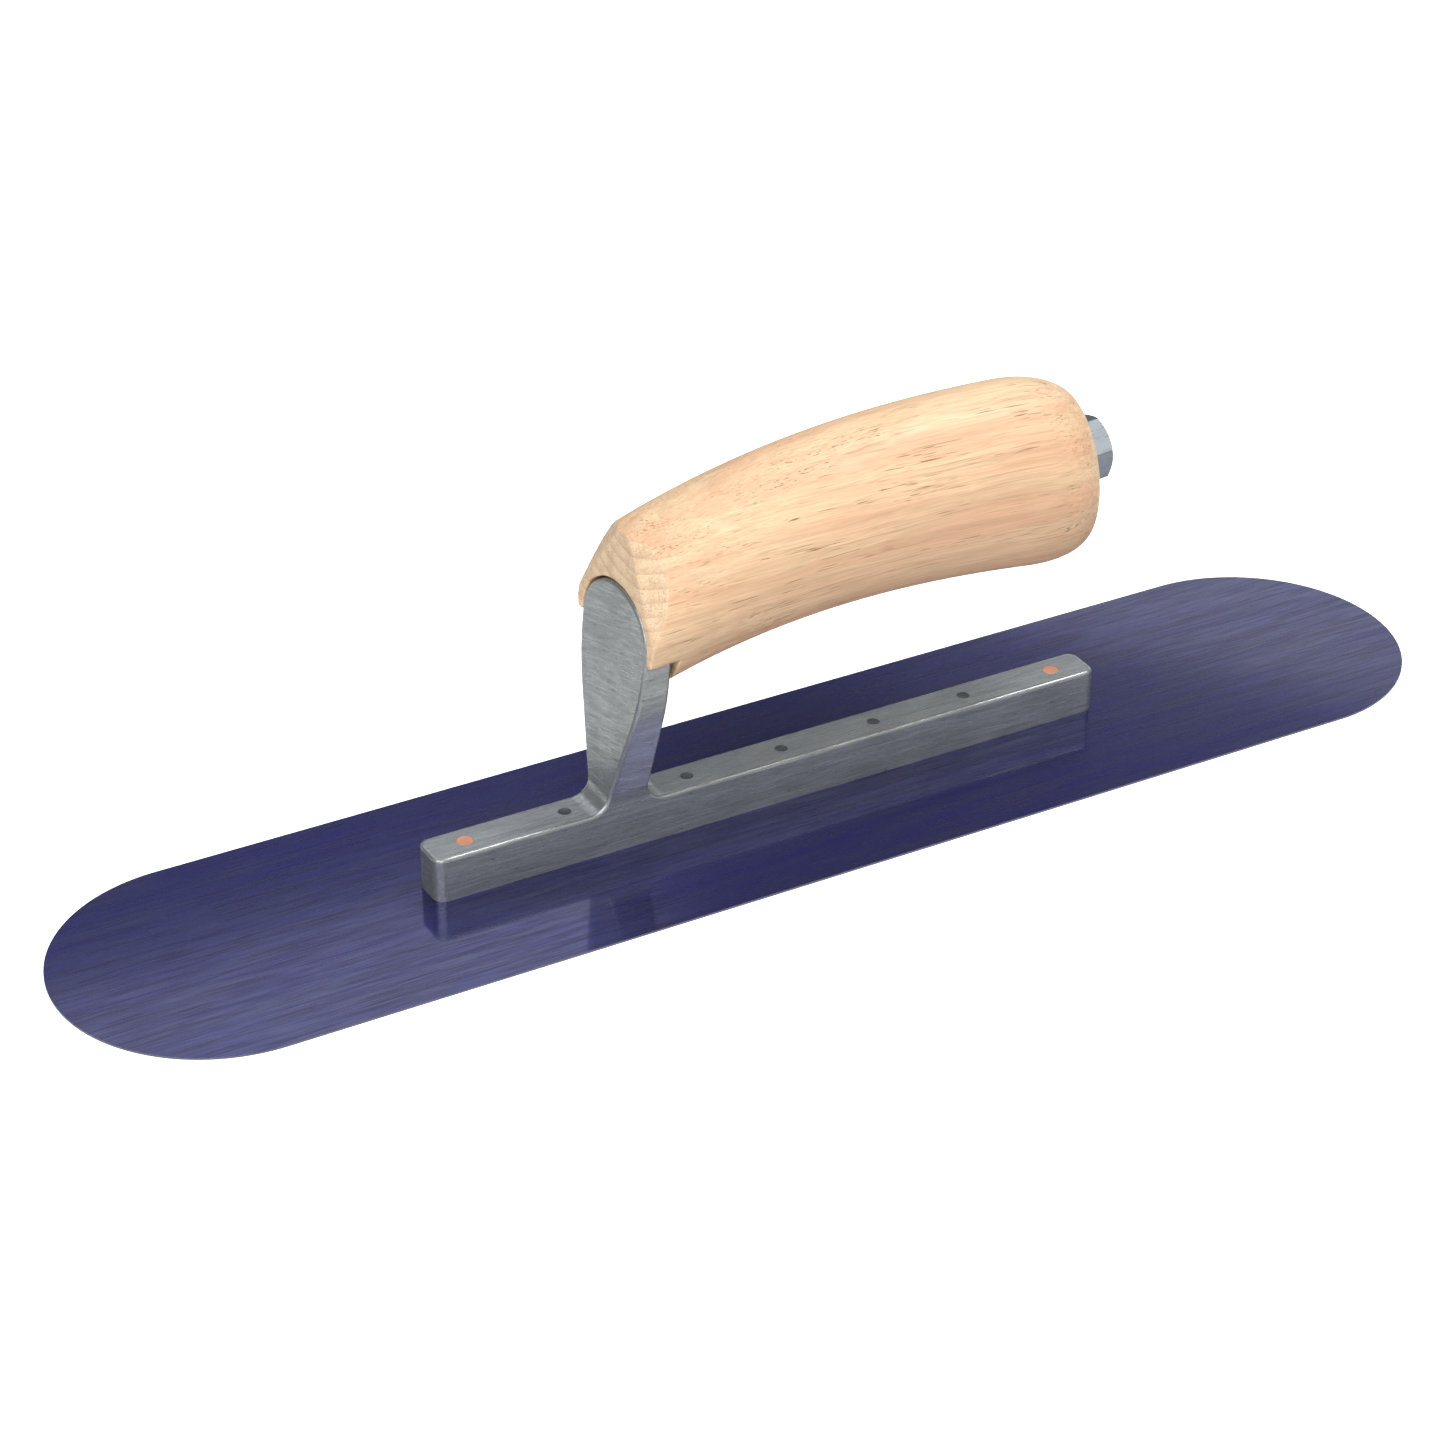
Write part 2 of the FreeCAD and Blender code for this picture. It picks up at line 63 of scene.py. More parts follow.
BLADE_LOW, BLADE_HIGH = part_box("blade")
BAR_LOW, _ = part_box("mounting")
RIVET_NODES = sorted(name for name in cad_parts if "rivet" in name)

# Sides of the round shapes; a rivet and its hole in the blade share a number.
ROD_SIDES, RIVET_SIDES, RING_SIDES, OVAL_SIDES, HEAD_SIDES = 64, 48, 96, 128, 128
# How far a tool reaches past what it cuts, and a joined part into its neighbour.
OVERLAP = 1 * MM
# Reach of the tests that find what lies on a plane, and of the merging of double verts.
NEAR, TOUCHING = 0.1 * MM, 0.01 * MM
# Least share of a face's normal along an axis for the face to count as looking along it.
SQUARE_ON = 0.9
# Edges that turn further than this are sharp.
SHARP_ANGLE = math.radians(30)


# ---------------------------------------------------------------------------------------------
# Settings
# ---------------------------------------------------------------------------------------------

def length(name, description, default, **limits):
    return FloatProperty(name=name, description=description, default=default, subtype="DISTANCE",
                         unit="LENGTH", precision=5, **limits)


def angle(name, description, degrees):
    return FloatProperty(name=name, description=description, default=math.radians(degrees),
                         subtype="ANGLE", unit="ROTATION")


def share(name, description, default):
    return FloatProperty(name=name, description=description, default=default, min=0, max=1,
                         subtype="FACTOR")


def colour(name, description, *default):
    return FloatVectorProperty(name=name, description=description, default=(*default, 1), size=4,
                               min=0, max=1, subtype="COLOR")


class TrowelBladeSettings(bpy.types.PropertyGroup):
    """The blued plate."""
    blue: colour("Blue", "Main colour of the blued surface", 0.034, 0.031, 0.205)
    slate: colour("Slate", "Greyer colour between the blue streaks", 0.052, 0.056, 0.160)
    bare: colour("Bare steel", "Colour of the ground rim", 0.16, 0.165, 0.24)
    polish: share("Roughness", "Roughness of the blued surface", 0.21)
    dark: colour("Dark marks", "Colour of the drawn marks", 0.012, 0.011, 0.040)
    metal_share: share("Metallic", "How far the blued surface is bare metal", 0.6)
    oil: share("Oil film", "Weight of the clear film over the blue", 0.85)
    oil_polish: share("Film roughness", "Roughness of the clear film", 0.08)
    rim: length("Rim bevel", "Width of the bevel round the plate's edge", 0.12 * MM, min=0)
    sides: IntProperty(name="End sides", description="Sides of the two round ends together",
                       default=192, min=24)


class TrowelMountingSettings(bpy.types.PropertyGroup):
    """The cast bar and post."""
    metal: colour("Metal", "Colour of the brushed casting", 0.48, 0.51, 0.505)
    dull: colour("Dull metal", "Colour of its duller patches", 0.34, 0.365, 0.362)
    groove: colour("Grooves", "Colour at the bottom of the brush marks", 0.16, 0.178, 0.182)
    pit: colour("Pits", "Colour inside the casting's fine pits", 0.05, 0.055, 0.055)
    polish: share("Roughness", "Roughness of the brushed casting", 0.27)
    metal_share: share("Metallic", "How far the casting is bare metal", 0.6)
    cross_angle: angle("Cross brushing", "Slant of the marks across the post's front", 13.5)


class TrowelGripSettings(bpy.types.PropertyGroup):
    """The wooden grip: oval sections square to the bolt, on a crowned centre line."""
    axis_height: length("Bolt height", "Height of the bolt's axis over the origin", 64 * MM)
    tilt: angle("Tilt", "Rise of the bolt's axis towards the butt", 4.2)
    front: length("Blank's front", "Start of the blank, before its nose is cut", -52 * MM)
    butt: length("Butt", "End of the grip along the bolt", 81.7 * MM)
    middle: length("Middle", "Place where the grip is narrowest", 15.3 * MM)
    half_width: length("Half width", "Half the width at the middle", 17.5 * MM, min=0)
    flare: FloatProperty(name="Flare", description="Growth in half width per metre squared",
                         default=0.16)
    half_height: length("Half height", "Half the height at the middle", 21.4 * MM, min=0)
    taper: FloatProperty(name="Taper", description="Growth in half height along the grip",
                         default=0.0465)
    crown: length("Crown", "Rise of the centre line over the bolt", 4.9 * MM)
    crown_place: length("Crown's place", "Place of the highest point of the line", 13.6 * MM)
    crown_radius: length("Crown radius", "Radius of the centre line at its crown", 233 * MM, min=0)
    crown_easing: FloatProperty(name="Easing", default=6.2,
                                description="Cubic easing of the crown, per metre squared")
    round_length: length("Butt rounding", "Length of the butt's rounding", 17.6 * MM, min=0)
    round_depth: length("Rounding depth", "Depth of the butt's rounding", 7 * MM, min=0)
    front_face: length("Front face", "Where the front face crosses the blade's plane", -47 * MM)
    lean: angle("Lean", "Backward lean of the front face", 6.8)
    shoulder_turn: angle("Shoulder turn", "How far each shoulder cut looks to its side", 30.3)
    shoulder_lift: angle("Shoulder lift", "How far each shoulder cut looks up", 25.5)
    shoulder_reach: length("Shoulder reach", "Distance of the cuts from the origin", 64.37 * MM)
    cheek_bottom: length("Cheek bottom", "Height of the cheeks' lower edge", 53.5 * MM)
    notch_back: length("Notch back", "Depth of the notch behind the origin", -32.3 * MM)
    notch_half_width: length("Notch half width", "Half the width of the notch", 15.3 * MM, min=0)
    notch_level: length("Notch shoulders", "Height where the notch starts to arch", 54.8 * MM)
    notch_shoulder: length("Shoulder radius", "Radius of the notch's shoulders", 10.6 * MM, min=0)
    notch_arch: length("Arch radius", "Radius of the notch's crown", 18.7 * MM, min=0)
    bolt_bore: length("Bolt bore", "Diameter of the bore for the bolt", 10.3 * MM, min=0)
    boss_bore: length("Boss bore", "Diameter of the bore behind the post", 16.6 * MM, min=0)
    boss_bore_end: length("Boss bore end", "Where the wide bore ends", -21.1 * MM)
    recess: length("Washer recess", "Diameter of the recess in the butt", 21.4 * MM, min=0)
    recess_floor: length("Recess floor", "Where the washers seat in the butt", 79 * MM)
    cell: length("Mesh cell", "Cell of the sanded mesh", 0.33 * MM, min=0.2 * MM)
    thinning: share("Thinning", "Share of the sanded mesh that is kept", 0.3)
    sapwood: colour("Sapwood", "Pale colour of the wood", 0.93, 0.69, 0.43)
    # Paler colour of the end faces: partly their end grain, partly a painted highlight on the nose
    # and butt.
    end_grain_and_highlight: colour("End grain", "Palest colour, on the nose and butt", 0.98, 0.77, 0.51)
    heartwood: colour("Heartwood", "Pinker colour of the wood", 0.90, 0.56, 0.35)
    latewood: colour("Latewood", "Browner colour of fibres and rings", 0.62, 0.35, 0.20)
    thread: colour("Threads", "Darker colour of long thin lines", 0.42, 0.21, 0.10)
    stain: colour("Stain", "Greyer colour of the mottled patches", 0.47, 0.40, 0.27)
    pore: colour("Pores", "Dark colour inside the pores", 0.25, 0.115, 0.05)
    grain_radius: length("Grain radius", "Radius that the grain bows to", 0.8, min=0.05)


class TrowelFastenerSettings(bpy.types.PropertyGroup):
    """The handle bolt, its washers and the rivets."""
    hex_seat: length("Head seat", "Place of the bolt head's underside on the axis", 83 * MM)
    hex_flats: length("Across flats", "Width of the hex head", 14.29 * MM, min=0)
    hex_height: length("Head height", "Height of the hex head", 5.9 * MM, min=0)
    hex_turn: angle("Head turn", "Turn of the hex head on its axis", 44.6)
    hex_crown: length("Head chamfer", "How far the chamfer comes in at the corners", 1.3 * MM)
    hex_drop: length("Chamfer drop", "How far the chamfer comes down the corners", 0.8 * MM)
    shank: length("Shank", "Diameter of the bolt's shank", 9.5 * MM, min=0)
    shank_length: length("Shank length", "Length of the bolt under its head", 114.3 * MM, min=0)
    washer_bore: length("Washer bore", "Diameter of the washers' holes", 10.3 * MM, min=0)
    washer_outside: length("Washer", "Diameter of the plain washer", 20.6 * MM, min=0)
    washer_thickness: length("Washer thickness", "Thickness of the plain washer", 1.6 * MM)
    lock_outside: length("Lock washer", "Diameter of the spring washer", 17 * MM, min=0)
    lock_thickness: length("Lock thickness", "Thickness of the spring washer", 2.4 * MM, min=0)
    shank_chamfer: length("Shank chamfer", "Chamfer round the shank's tip", 1 * MM, min=0)
    lock_gap: length("Lock gap", "Width of the spring washer's slit", 1.4 * MM, min=0)
    soft_edge: length("Soft edge", "Bevel of turned and pressed edges", 0.15 * MM, min=0)
    rivet_chamfer: length("Rivet chamfer", "Chamfer round the rivets' ends", 0.1 * MM, min=0)
    rivet_dish: length("Rivet dish", "Depth of the dish in the rivets' tops", 0.05 * MM, min=0)
    zinc: colour("Zinc", "Bluish plating of bolt and washer", 0.42, 0.46, 0.485)
    spring: colour("Spring steel", "Satin steel of the spring washer", 0.36, 0.38, 0.40)
    copper: colour("Copper", "Colour of the end rivets", 0.80, 0.36, 0.21)
    steel: colour("Rivet steel", "Colour of the blade rivets", 0.17, 0.18, 0.18)


class TrowelStageSettings(bpy.types.PropertyGroup):
    """Camera, floor and lights."""
    target: FloatVectorProperty(name="Target", description="Point that the camera looks at",
                                default=(0.006408, 0.03396, 0), subtype="XYZ", unit="LENGTH")
    azimuth: angle("Azimuth", "Camera's turn about the object, from -Y towards +X", -29.114)
    elevation: angle("Elevation", "Camera's height above the horizon", 30.886)
    distance: length("Distance", "Camera's distance from its target", 0.88548)
    lens: FloatProperty(name="Lens", description="Focal length on a 36 mm sensor, in mm",
                        default=90.457, unit="CAMERA")
    floor_radius: length("Floor radius", "Radius of the floor", 8.0)
    floor_drop: length("Floor drop", "Gap between the blade and the floor", 0.1 * MM, min=0)
    floor: colour("Floor", "Colour of the plain floor", 0.70, 0.70, 0.70)
    glow: FloatProperty(name="Floor glow", description="Paleness that only the camera sees",
                        default=1.0, min=0)
    sky: colour("Surroundings", "Colour of the studio round the object", 0.07, 0.075, 0.085)


# ---------------------------------------------------------------------------------------------
# Modelling
# ---------------------------------------------------------------------------------------------

def start_piece(name, add, **where):
    """Add a primitive with nothing else selected, and name it."""
    bpy.ops.object.select_all(action="DESELECT")
    add(**where)
    piece = bpy.context.object
    piece.name = piece.data.name = name
    return piece


def select_only(piece):
    """Make a piece active and the only one selected."""
    bpy.ops.object.select_all(action="DESELECT")
    bpy.context.view_layer.objects.active = piece
    piece.select_set(True)


def edit(piece, select="DESELECT"):
    """Go into edit mode on one piece."""
    select_only(piece)
    bpy.ops.object.mode_set(mode="EDIT")
    bpy.ops.mesh.select_all(action=select)


def leave_edit():
    bpy.ops.object.mode_set(mode="OBJECT")


def pick(piece, kind, test):
    """In edit mode, select just the faces, edges or verts that pass a test."""
    bpy.ops.mesh.select_mode(type={"faces": "FACE", "edges": "EDGE", "verts": "VERT"}[kind])
    bpy.ops.mesh.select_all(action="DESELECT")
    mesh = bmesh.from_edit_mesh(piece.data)
    for element in getattr(mesh, kind):
        if test(element):
            element.select_set(True)
    mesh.select_flush_mode()
    bmesh.update_edit_mesh(piece.data)


def apply_place(piece):
    """Move a piece's place, turn and scale into its mesh."""
    select_only(piece)
    bpy.ops.object.transform_apply(location=True, rotation=True, scale=True)


def put_on_bolt_axis(piece, grip, station=0.0):
    """Stand a piece that was made along X on the bolt's axis."""
    along = Vector((math.cos(grip.tilt), 0, math.sin(grip.tilt)))
    piece.location = Vector((0, 0, grip.axis_height)) + station * along
    piece.rotation_euler = (0, -grip.tilt, 0)
    apply_place(piece)


def apply_modifier(piece, kind, **settings):
    modifier = piece.modifiers.new(kind.title(), kind)
    for name, value in settings.items():
        setattr(modifier, name, value)
    bpy.context.view_layer.objects.active = piece
    bpy.ops.object.modifier_apply(modifier=modifier.name)


def boolean(piece, tool, operation="DIFFERENCE"):
    """Combine a piece with a closed tool, which is used up."""
    apply_modifier(piece, "BOOLEAN", operation=operation, object=tool, solver="EXACT")
    bpy.data.objects.remove(tool)


def soften_edges(piece, width, segments=2):
    """Bevel a piece's sharp edges and shade it smooth up to them."""
    select_only(piece)
    bpy.ops.object.shade_smooth()
    apply_modifier(piece, "BEVEL", width=width, segments=segments, limit_method="ANGLE",
                   angle_limit=SHARP_ANGLE, harden_normals=True, use_clamp_overlap=True)


def finish_piece(piece, node, material):
    """Give a piece its finish and let it stand for a CAD node."""
    piece.data.materials.clear()
    piece.data.materials.append(material)
    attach(piece, BODY)
    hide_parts(node)


def rod(name, radius, start, end, sides=ROD_SIDES):
    """A closed cylinder along X."""
    return start_piece(name, bpy.ops.mesh.primitive_cylinder_add, vertices=sides, radius=radius,
                       depth=end - start, location=((start + end) / 2, 0, 0),
                       rotation=(0, math.pi / 2, 0))


def make_blade_plate(settings):
    """The plate: a disc drawn out to its length, with a fine bevel and a hole for each rivet."""
    size = BLADE_HIGH - BLADE_LOW
    half_step = math.pi / settings.sides
    piece = start_piece("blade_plate", bpy.ops.mesh.primitive_cylinder_add, vertices=settings.sides,
                        radius=size.y / 2 / math.cos(half_step), depth=size.z,
                        location=(0, 0, size.z / 2), rotation=(0, 0, half_step))
    apply_place(piece)
    edit(piece)
    for side in (1, -1):
        pick(piece, "verts", lambda vert: vert.co.x * side > 0)
        bpy.ops.transform.translate(value=(side * (size.x - size.y) / 2, 0, 0))
    leave_edit()
    for node in RIVET_NODES:
        low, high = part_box(node)
        drill = start_piece("drill", bpy.ops.mesh.primitive_cylinder_add, vertices=RIVET_SIDES,
                            radius=(high.x - low.x) / 2, depth=4 * size.z,
                            location=((low.x + high.x) / 2, 0, 0))
        boolean(piece, drill)
    soften_edges(piece, settings.rim)
    return piece


def grip_section(grip, station, inset=0.0):
    """Centre and half sizes of the grip's oval at a station along the bolt."""
    past = station - grip.crown_place
    rise = grip.crown - past ** 2 / (2 * grip.crown_radius) + grip.crown_easing * past ** 3
    off = station - grip.middle
    half_width = grip.half_width + grip.flare * off ** 2 - inset
    half_height = grip.half_height + grip.taper * off - inset
    return Vector((station, 0, rise)), half_width, half_height


def grip_sections(grip, spans=48, round_spans=14):
    """All sections of the blank, evenly spaced and then closing in round the butt."""
    round_start = grip.butt - grip.round_length
    for step in range(spans):
        yield grip_section(grip, grip.front + step / spans * (round_start - grip.front))
    for step in range(round_spans + 1):
        turn = math.pi / 2 * step / round_spans
        yield grip_section(grip, round_start + grip.round_length * math.sin(turn),
                           grip.round_depth * (1 - math.cos(turn)))


def make_grip_blank(grip):
    """Extrude an oval along the bolt, section by section."""
    sections = list(grip_sections(grip))
    centre, width, height = sections[0]
    blank = start_piece("wooden_grip", bpy.ops.mesh.primitive_circle_add, radius=1,
                        vertices=OVAL_SIDES, fill_type="NGON", location=centre,
                        rotation=(0, math.pi / 2, 0))
    apply_place(blank)
    edit(blank, "SELECT")
    bpy.ops.transform.resize(value=(1, width, height), center_override=centre)
    for new_centre, new_width, new_height in sections[1:]:
        bpy.ops.mesh.extrude_region_move(
            TRANSFORM_OT_translate={"value": new_centre - centre})
        bpy.ops.transform.resize(value=(1, new_width / width, new_height / height),
                                 center_override=new_centre)
        centre, width, height = new_centre, new_width, new_height
    bpy.ops.mesh.select_all(action="SELECT")
    bpy.ops.mesh.normals_make_consistent(inside=False)
    leave_edit()
    put_on_bolt_axis(blank, grip)
    return blank


def slice_off(point, normal):
    """In edit mode, cut away all that lies on a plane's outer side, and close the cut."""
    bpy.ops.mesh.select_all(action="SELECT")
    bpy.ops.mesh.bisect(plane_co=point, plane_no=normal, use_fill=True, clear_outer=True)


def trim_grip_nose(piece, grip):
    """Slice the nose flush with the post and slope its two shoulders."""
    edit(piece)
    front = Vector((-math.cos(grip.lean), 0, math.sin(grip.lean)))
    slice_off((grip.front_face, 0, 0), front)
    for side in (1, -1):
        outward = Vector((-math.cos(grip.shoulder_turn), side * math.sin(grip.shoulder_turn),
                          math.tan(grip.shoulder_lift))).normalized()
        slice_off(outward * grip.shoulder_reach, outward)
    leave_edit()


def make_notch_tool(grip, shoulder_steps=10, crown_steps=24):
    """The shape of the notch: walls, rounded shoulders and an arched crown, swept along X."""
    front, back, floor = 2 * grip.front, grip.notch_back, BAR_LOW.z
    wall = grip.notch_level - floor
    tool = start_piece("notch", bpy.ops.mesh.primitive_plane_add, size=1,
                       location=((front + back) / 2, grip.notch_half_width, floor + wall / 2),
                       rotation=(math.pi / 2, 0, 0))
    tool.scale = (back - front, wall, 1)
    apply_place(tool)
    inward = grip.notch_half_width - grip.notch_shoulder
    meeting = math.acos(inward / (grip.notch_arch - grip.notch_shoulder))
    drop = math.sqrt((grip.notch_arch - grip.notch_shoulder) ** 2 - inward ** 2)
    edit(tool)
    pick(tool, "edges", lambda edge: all(vert.co.z > grip.notch_level - NEAR
                                         for vert in edge.verts))
    arcs = ((inward, grip.notch_level, meeting, shoulder_steps),
            (0, grip.notch_level - drop, math.pi - 2 * meeting, crown_steps),
            (-inward, grip.notch_level, meeting, shoulder_steps))
    for across, up, turn, steps in arcs:
        bpy.ops.mesh.spin(steps=steps, angle=-turn, center=(0, across, up), axis=(1, 0, 0))
    bpy.ops.mesh.extrude_region_move(TRANSFORM_OT_translate={"value": (0, 0, -wall)})
    bpy.ops.mesh.select_all(action="SELECT")
    bpy.ops.mesh.remove_doubles(threshold=TOUCHING)
    open_sides = (lambda co: co.x < front + NEAR, lambda co: co.x > back - NEAR,
                  lambda co: co.z < floor + NEAR)
    for on_side in open_sides:
        pick(tool, "edges", lambda edge: all(on_side(vert.co) for vert in edge.verts))
        bpy.ops.mesh.edge_face_add()
    bpy.ops.mesh.select_all(action="SELECT")
    bpy.ops.mesh.normals_make_consistent(inside=False)
    leave_edit()
    return tool


def make_cheek_tool(grip):
    """A block that cuts the cheeks off below."""
    front, deep = 2 * grip.front, 2 * grip.half_width
    piece = start_piece("cheek_saw", bpy.ops.mesh.primitive_cube_add, size=1,
                        location=((front + grip.notch_back) / 2, 0, grip.cheek_bottom - deep / 2))
    piece.scale = (grip.notch_back - front, 2 * deep, deep)
    apply_place(piece)
    return piece


def make_grip(grip):
    """The wooden grip, cut to shape, bored, and sanded over all its edges."""
    piece = make_grip_blank(grip)
    trim_grip_nose(piece, grip)
    boolean(piece, make_notch_tool(grip))
    boolean(piece, make_cheek_tool(grip))
    bore_start, bore_end = grip.notch_back - OVERLAP, grip.butt + OVERLAP
    bores = ((grip.bolt_bore, bore_start, bore_end),
             (grip.boss_bore, bore_start, grip.boss_bore_end),
             (grip.recess, grip.recess_floor, bore_end))
    for diameter, start, end in bores:
        bore = rod("bore", diameter / 2, start, end)
        apply_place(bore)
        put_on_bolt_axis(bore, grip)
        boolean(piece, bore)
    apply_modifier(piece, "REMESH", mode="VOXEL", voxel_size=grip.cell)
    apply_modifier(piece, "SMOOTH", factor=0.5, iterations=3)
    apply_modifier(piece, "DECIMATE", ratio=grip.thinning)
    select_only(piece)
    bpy.ops.object.shade_smooth()
    return piece


def make_hex_bolt(fastener, grip, oversize=0.2):
    """A hex-head bolt: the head's corners are turned down to a chamfer, over a round shank.

    The round blank that turns the head down is wider than its corners by the share oversize.
    """
    corner = fastener.hex_flats / 2 / math.cos(math.pi / 6)
    piece = rod("hex_bolt", corner, 0, fastener.hex_height, sides=6)
    apply_place(piece)
    first = next(vert.co for vert in piece.data.vertices)
    piece.rotation_euler = (fastener.hex_turn - math.atan2(first.z, first.y), 0, 0)
    apply_place(piece)
    slope = fastener.hex_drop / fastener.hex_crown
    blank, top = corner * (1 + oversize), fastener.hex_height - NEAR
    turned = rod("turned_head", blank, -OVERLAP, fastener.hex_height, sides=HEAD_SIDES)
    apply_place(turned)
    edit(turned)
    pick(turned, "faces", lambda face: face.calc_center_median().x > top)
    bpy.ops.mesh.inset(thickness=blank - (corner - fastener.hex_crown))
    pick(turned, "verts", lambda vert: vert.co.x > top and vert.co.yz.length > corner)
    bpy.ops.transform.translate(value=(-slope * (corner * oversize + fastener.hex_crown), 0, 0))
    leave_edit()
    boolean(piece, turned, "INTERSECT")
    shank = rod("shank", fastener.shank / 2, -fastener.shank_length, OVERLAP)
    apply_place(shank)
    edit(shank)
    pick(shank, "edges", lambda edge: all(vert.co.x < -fastener.shank_length + NEAR
                                          for vert in edge.verts))
    bpy.ops.mesh.bevel(offset=fastener.shank_chamfer, segments=1)
    leave_edit()
    boolean(piece, shank, "UNION")
    soften_edges(piece, fastener.soft_edge)
    put_on_bolt_axis(piece, grip, fastener.hex_seat)
    return piece


def make_ring(name, fastener, outside, thickness):
    """A flat ring about X: both ends of a disc are inset, opened and bridged."""
    piece = rod(name, outside / 2, 0, thickness, sides=RING_SIDES)
    apply_place(piece)
    edit(piece)
    pick(piece, "faces", lambda face: abs(face.normal.x) > SQUARE_ON)
    bpy.ops.mesh.inset(thickness=(outside - fastener.washer_bore) / 2)
    bpy.ops.mesh.delete(type="FACE")
    pick(piece, "edges", lambda edge: edge.is_boundary)
    bpy.ops.mesh.bridge_edge_loops()
    bpy.ops.mesh.select_all(action="SELECT")
    bpy.ops.mesh.normals_make_consistent(inside=False)
    leave_edit()
    return piece


def make_plain_washer(fastener, grip):
    piece = make_ring("plain_washer", fastener, fastener.washer_outside, fastener.washer_thickness)
    soften_edges(piece, fastener.soft_edge)
    seat = fastener.hex_seat - fastener.lock_thickness - fastener.washer_thickness
    put_on_bolt_axis(piece, grip, seat)
    return piece


def make_spring_washer(fastener, grip):
    """A ring with a slanted slit on top, as wide round the ring as the gap."""
    thick, slant = fastener.lock_thickness, math.pi / 4
    piece = make_ring("spring_washer", fastener, fastener.lock_outside, thick)
    saw = start_piece("saw", bpy.ops.mesh.primitive_cube_add, size=1,
                      location=(thick / 2, 0, fastener.lock_outside / 2),
                      rotation=(0, 0, -slant))
    saw.scale = (fastener.lock_gap / math.sqrt(2), 4 * thick, fastener.lock_outside / 2)
    apply_place(saw)
    boolean(piece, saw)
    soften_edges(piece, fastener.soft_edge)
    put_on_bolt_axis(piece, grip, fastener.hex_seat - thick)
    return piece


def make_rivet(node, fastener):
    """A flush rivet: both ends chamfered, and the ground top dished a little."""
    low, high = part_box(node)
    middle, radius, height = (low + high) / 2, (high.x - low.x) / 2, high.z - low.z
    chamfer, land = fastener.rivet_chamfer, radius / 3
    piece = start_piece(f"{node}_shank", bpy.ops.mesh.primitive_cylinder_add, radius=radius,
                        vertices=RIVET_SIDES, depth=height, location=middle)
    apply_place(piece)
    edit(piece)
    pick(piece, "faces", lambda face: abs(face.normal.z) > SQUARE_ON)
    bpy.ops.mesh.inset(thickness=chamfer)
    pick(piece, "verts", lambda vert: (vert.co - middle).xy.length > radius - chamfer / 2)
    bpy.ops.transform.resize(value=(1, 1, 1 - 2 * chamfer / height), center_override=middle)
    pick(piece, "faces", lambda face: face.normal.z > SQUARE_ON)
    bpy.ops.mesh.inset(thickness=land)
    bpy.ops.transform.translate(value=(0, 0, -fastener.rivet_dish))
    leave_edit()
    bpy.ops.object.shade_smooth_by_angle(angle=SHARP_ANGLE)
    return piece


# ---------------------------------------------------------------------------------------------
# Finishes
# ---------------------------------------------------------------------------------------------

class Nodes:
    """Short ways to add nodes to one tree; each returns an output socket."""

    def __init__(self, tree):
        self.tree = tree

    def add(self, kind, inputs=None, **settings):
        node = self.tree.nodes.new(kind)
        for name, value in settings.items():
            setattr(node, name, value)
        for name, value in (inputs or {}).items():
            self.feed(node.inputs[name], value)
        return node

    def feed(self, socket, value):
        if isinstance(value, bpy.types.NodeSocket):
            self.tree.links.new(value, socket)
        else:
            socket.default_value = value

    def math(self, operation, first, second=0.0, third=0.0):
        return self.add("ShaderNodeMath", {0: first, 1: second, 2: third},
                        operation=operation).outputs[0]

    def vector(self, operation, first, second):
        return self.add("ShaderNodeVectorMath", {0: first, 1: second},
                        operation=operation).outputs[0]

    def blend(self, factor, first, second):
        return self.add("ShaderNodeMix", {0: factor, 6: first, 7: second},
                        data_type="RGBA").outputs[2]

    def cover(self, body, tint, mask, strength):
        """Lay a tint over a body, where a mask has it and as far as its strength goes."""
        return self.blend(self.math("MULTIPLY", mask, strength), body, tint)

    def spread(self, value, low, high):
        """Map a mask onto the range from low to high."""
        return self.add("ShaderNodeMapRange", {"Value": value, "To Min": low, "To Max": high},
                        interpolation_type="SMOOTHSTEP").outputs[0]

    def steps(self, value, low, high):
        """A mask that rises from 0 at low to 1 at high."""
        return self.add("ShaderNodeMapRange", {"Value": value, "From Min": low, "From Max": high},
                        interpolation_type="SMOOTHSTEP").outputs[0]

    def group(self, tree, **inputs):
        node = self.add("ShaderNodeGroup", node_tree=tree)
        for name, value in inputs.items():
            self.feed(node.inputs[name.replace("_", " ")], value)
        return node.outputs[0]

    def place(self):
        return self.add("ShaderNodeTexCoord").outputs["Object"]

    def size_along(self, axis):
        """How squarely a surface looks along an axis, either way."""
        normal = self.add("ShaderNodeTexCoord").outputs["Normal"]
        part = self.add("ShaderNodeSeparateXYZ", {0: normal}).outputs[axis]
        return self.math("ABSOLUTE", part)

    def turned(self, vector, rotation):
        return self.add("ShaderNodeMapping", {"Vector": vector, "Rotation": rotation}).outputs[0]

    def bump(self, height, depth, strength):
        return self.add("ShaderNodeBump", {"Height": height, "Distance": depth,
                                           "Strength": strength}).outputs[0]


def new_group(name, inputs, output):
    """A shader node group with one output; gives its node helper, its inputs and its output."""
    tree = bpy.data.node_groups.new(name, "ShaderNodeTree")
    for label, kind, default in inputs:
        socket = tree.interface.new_socket(label, in_out="INPUT", socket_type=f"NodeSocket{kind}")
        socket.default_value = default
    tree.interface.new_socket(output, in_out="OUTPUT", socket_type="NodeSocketFloat")
    nodes = Nodes(tree)
    return nodes, nodes.add("NodeGroupInput").outputs, nodes.add("NodeGroupOutput").inputs[0]


